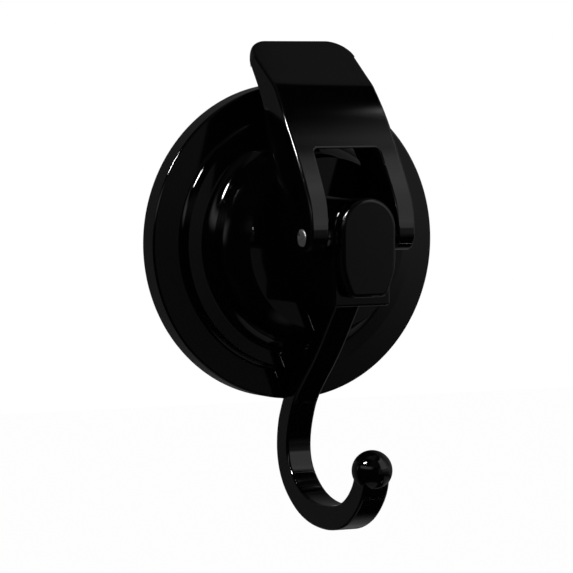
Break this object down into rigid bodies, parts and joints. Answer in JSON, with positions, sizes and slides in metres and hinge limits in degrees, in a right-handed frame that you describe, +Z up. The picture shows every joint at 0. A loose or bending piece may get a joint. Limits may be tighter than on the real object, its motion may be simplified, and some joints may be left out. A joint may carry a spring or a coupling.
{
  "type": "suction cup hook",
  "caption": "Wall hook on a round suction base. A cam lever with a bent paddle pulls the stem and its soft disc to hold; it swings out to let go.",
  "frame": {"origin": "centre of the suction disc, in the plane of the wall that its lip lies on", "axes": "+Y into the wall, -Y out of it towards the hook's tip, +Z up along the wall, +X along the lever's pin"},
  "size_m": [0.07, 0.0462, 0.1064],
  "materials": {
    "housing": "polished black",
    "hook": "polished black",
    "front_cap": "satin black",
    "lever": "polished black",
    "suction_disc": "smooth and slightly clear",
    "stem": "moulded",
    "pivot_pin": "plain",
    "screw_steel": "plain"
  },
  "bodies": {
    "base": {"housing": "housing", "suction_disc": "suction_disc", "hook": "hook", "front_cap": "front_cap", "hook_screw_upper": "screw_steel", "hook_screw_lower": "screw_steel"},
    "stem": {"stem": "stem", "pivot_pin": "pivot_pin"},
    "lever": {"lever": "lever"}
  },
  "joints": [
    {"name": "stem_slide", "type": "slide", "parent": "base", "child": "stem", "axis": [0, 1, 0], "range_m": [0, 0.002], "deforming": ["suction_disc"]},
    {"name": "lever_swing", "type": "hinge", "parent": "stem", "child": "lever", "pos_m": [0, -0.0336, 0.0021], "axis": [1, 0, 0], "range_deg": [0, 90]}
  ],
  "couplings": [
    {"joint": "stem_slide", "follows": "lever_swing", "m_per_rad": 0.0012732}
  ]
}
